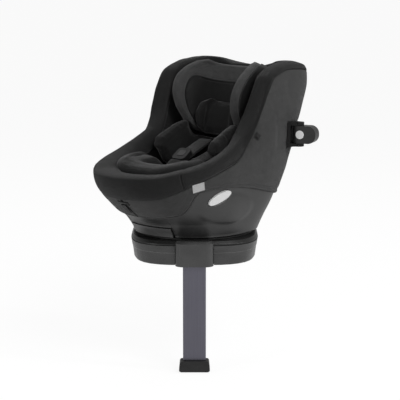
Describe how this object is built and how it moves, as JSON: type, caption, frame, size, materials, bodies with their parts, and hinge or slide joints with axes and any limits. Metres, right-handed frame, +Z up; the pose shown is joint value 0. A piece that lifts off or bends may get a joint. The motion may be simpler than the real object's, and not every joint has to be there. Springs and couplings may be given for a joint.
{
  "type": "rotating convertible child car seat",
  "caption": "Child car seat that swivels and reclines on a rigid-anchor base, with a folding load leg, side pods and a height-adjustable headrest.",
  "frame": {"origin": "midway between the axes of the two anchor bars the jaws close on", "axes": "+Z up, -Y towards the load leg (front of the vehicle), +X to the child's left with the seat facing forward"},
  "size_m": [0.6597, 0.6678, 0.8835],
  "materials": {
    "base_plastic": "fine texture",
    "dark_plastic": "fine texture",
    "shell_plastic": "fine texture",
    "steel_frame": "satin",
    "bright_steel": "satin",
    "leg_alloy": "satin",
    "rubber": "matt",
    "white_plastic": "gloss",
    "red_plastic": "gloss",
    "foam": "bead foam",
    "dark_fabric": "knit",
    "grey_fabric": "melange weave",
    "webbing": "woven",
    "tag_cloth": "plain"
  },
  "bodies": {
    "base": {"base_lower_housing": "base_plastic", "base_upper_housing": "dark_plastic", "base_chassis": "steel_frame", "base_screws": "bright_steel", "base_pads": "rubber", "leg_socket_cover": "base_plastic", "leg_pivot_pin": "bright_steel", "bearing_ring": "bright_steel", "bearing_balls": "bright_steel"},
    "arm_left": {"isofix_arm_left": "steel_frame", "isofix_jaw_left": "dark_plastic"},
    "arm_right": {"isofix_arm_right": "steel_frame", "isofix_jaw_right": "dark_plastic"},
    "hook_left": {"isofix_hook_left": "bright_steel"},
    "hook_right": {"isofix_hook_right": "bright_steel"},
    "release_left": {"isofix_release_left": "red_plastic"},
    "release_right": {"isofix_release_right": "red_plastic"},
    "leg_upper": {"leg_hinge_block": "dark_plastic", "leg_outer_tube": "leg_alloy"},
    "leg_button": {"leg_lock_button": "dark_plastic"},
    "leg_lower": {"leg_inner_tube": "leg_alloy", "leg_foot": "dark_plastic", "leg_foot_sole": "rubber"},
    "carrier": {"turntable": "dark_plastic", "recline_carrier": "steel_frame", "recline_pivot_pin": "bright_steel"},
    "swivel_bolt": {"swivel_lock_bolt": "bright_steel"},
    "seat": {"seat_shell": "shell_plastic", "seat_underframe": "steel_frame", "impact_foam": "foam", "seat_liner": "dark_fabric", "rim_cover": "dark_fabric", "side_cover_left": "grey_fabric", "side_cover_right": "grey_fabric", "side_pod_brackets": "dark_plastic", "harness_holders": "dark_plastic", "insert_back": "grey_fabric", "insert_seat": "grey_fabric", "crotch_pad": "grey_fabric", "crotch_strap": "webbing", "buckle_housing": "dark_plastic", "shoulder_pads": "grey_fabric", "harness_webbing": "webbing", "adjuster_bezel": "dark_plastic", "adjuster_strap": "webbing", "sewn_tag": "tag_cloth"},
    "lock_bar": {"recline_lock_bar": "bright_steel"},
    "handle": {"recline_handle": "shell_plastic"},
    "spin_button_l": {"spin_button_left": "white_plastic"},
    "spin_button_r": {"spin_button_right": "white_plastic"},
    "pod_l": {"side_pod_left": "shell_plastic"},
    "pod_r": {"side_pod_right": "shell_plastic"},
    "pod_button_l": {"side_pod_button_left": "white_plastic"},
    "pod_button_r": {"side_pod_button_right": "white_plastic"},
    "buckle_press": {"buckle_button": "red_plastic"},
    "adjuster_press": {"adjuster_button": "dark_plastic"},
    "headrest": {"headrest_shell": "dark_plastic", "headrest_pad": "grey_fabric", "head_pillow": "dark_fabric", "headrest_handle": "dark_plastic"}
  },
  "joints": [
    {"name": "anchor_arm_slide_left", "type": "slide", "parent": "base", "child": "arm_left", "axis": [0, 1, 0], "range_m": [-0.045, 0]},
    {"name": "anchor_hook_swing_left", "type": "hinge", "parent": "arm_left", "child": "hook_left", "pos_m": [0.14, -0.02, 0.009], "axis": [1, 0, 0], "range_deg": [0, 28], "stiffness_Nm_per_rad": 0.12, "springref_deg": -11.46},
    {"name": "anchor_release_press_left", "type": "slide", "parent": "arm_left", "child": "release_left", "axis": [0, 1, 0], "range_m": [0, 0.005], "stiffness_N_per_m": 500},
    {"name": "anchor_arm_slide_right", "type": "slide", "parent": "base", "child": "arm_right", "axis": [0, 1, 0], "range_m": [-0.045, 0]},
    {"name": "anchor_hook_swing_right", "type": "hinge", "parent": "arm_right", "child": "hook_right", "pos_m": [-0.14, -0.02, 0.009], "axis": [1, 0, 0], "range_deg": [0, 28], "stiffness_Nm_per_rad": 0.12, "springref_deg": -11.46},
    {"name": "anchor_release_press_right", "type": "slide", "parent": "arm_right", "child": "release_right", "axis": [0, 1, 0], "range_m": [0, 0.005], "stiffness_N_per_m": 500},
    {"name": "leg_fold", "type": "hinge", "parent": "base", "child": "leg_upper", "pos_m": [0, -0.5, -0.0185], "axis": [1, 0, 0], "range_deg": [0, 90]},
    {"name": "leg_extend", "type": "slide", "parent": "leg_upper", "child": "leg_lower", "axis": [0, 0, -1], "range_m": [0, 0.17]},
    {"name": "leg_lock_press", "type": "slide", "parent": "leg_upper", "child": "leg_button", "axis": [0, -1, 0], "range_m": [0, 0.0025], "stiffness_N_per_m": 700},
    {"name": "seat_swivel", "type": "hinge", "parent": "base", "child": "carrier", "pos_m": [0, -0.3, 0], "axis": [0, 0, 1], "continuous": true},
    {"name": "swivel_bolt_lift", "type": "slide", "parent": "carrier", "child": "swivel_bolt", "axis": [0, 0, 1], "range_m": [0, 0.005]},
    {"name": "seat_recline", "type": "hinge", "parent": "carrier", "child": "seat", "pos_m": [0.08699, -0.20339, 0.067], "axis": [-0.7431, 0.6691, 0], "range_deg": [0, 12]},
    {"name": "lock_bar_draw", "type": "slide", "parent": "seat", "child": "lock_bar", "axis": [-0.6691, -0.7431, 0], "range_m": [0, 0.007]},
    {"name": "recline_handle_pull", "type": "hinge", "parent": "seat", "child": "handle", "pos_m": [-0.13182, -0.4464, 0.071], "axis": [-0.7431, 0.6691, 0], "range_deg": [0, 12], "stiffness_Nm_per_rad": 1.2},
    {"name": "spin_button_press_left", "type": "slide", "parent": "seat", "child": "spin_button_l", "axis": [-0.6027, 0.7668, 0.221], "range_m": [0, 0.003], "stiffness_N_per_m": 700},
    {"name": "spin_button_press_right", "type": "slide", "parent": "seat", "child": "spin_button_r", "axis": [0.8256, -0.5192, 0.221], "range_m": [0, 0.003], "stiffness_N_per_m": 700},
    {"name": "side_pod_swing_left", "type": "hinge", "parent": "seat", "child": "pod_l", "pos_m": [0.30807, -0.31346, 0.312], "axis": [0, 0, 1], "range_deg": [0, 90]},
    {"name": "side_pod_swing_right", "type": "hinge", "parent": "seat", "child": "pod_r", "pos_m": [-0.04559, 0.00498, 0.312], "axis": [0, 0, -1], "range_deg": [0, 90]},
    {"name": "side_pod_button_press_left", "type": "slide", "parent": "pod_l", "child": "pod_button_l", "axis": [0.3746, 0.9272, 0], "range_m": [0, 0.0025], "stiffness_N_per_m": 500},
    {"name": "side_pod_button_press_right", "type": "slide", "parent": "pod_r", "child": "pod_button_r", "axis": [0.8829, 0.4695, 0], "range_m": [0, 0.0025], "stiffness_N_per_m": 500},
    {"name": "buckle_button_press", "type": "slide", "parent": "seat", "child": "buckle_press", "axis": [0.3742, 0.4156, -0.829], "range_m": [0, 0.0025], "stiffness_N_per_m": 900},
    {"name": "adjuster_button_press", "type": "slide", "parent": "seat", "child": "adjuster_press", "axis": [0.4731, 0.5255, 0.7071], "range_m": [0, 0.003], "stiffness_N_per_m": 700},
    {"name": "headrest_height", "type": "slide", "parent": "seat", "child": "headrest", "axis": [0.232, 0.2577, 0.938], "range_m": [0, 0.11]}
  ],
  "couplings": [
    {"joint": "swivel_bolt_lift", "follows": "spin_button_press_left", "ratio": 1.66},
    {"joint": "lock_bar_draw", "follows": "recline_handle_pull", "m_per_rad": 0.0334}
  ]
}
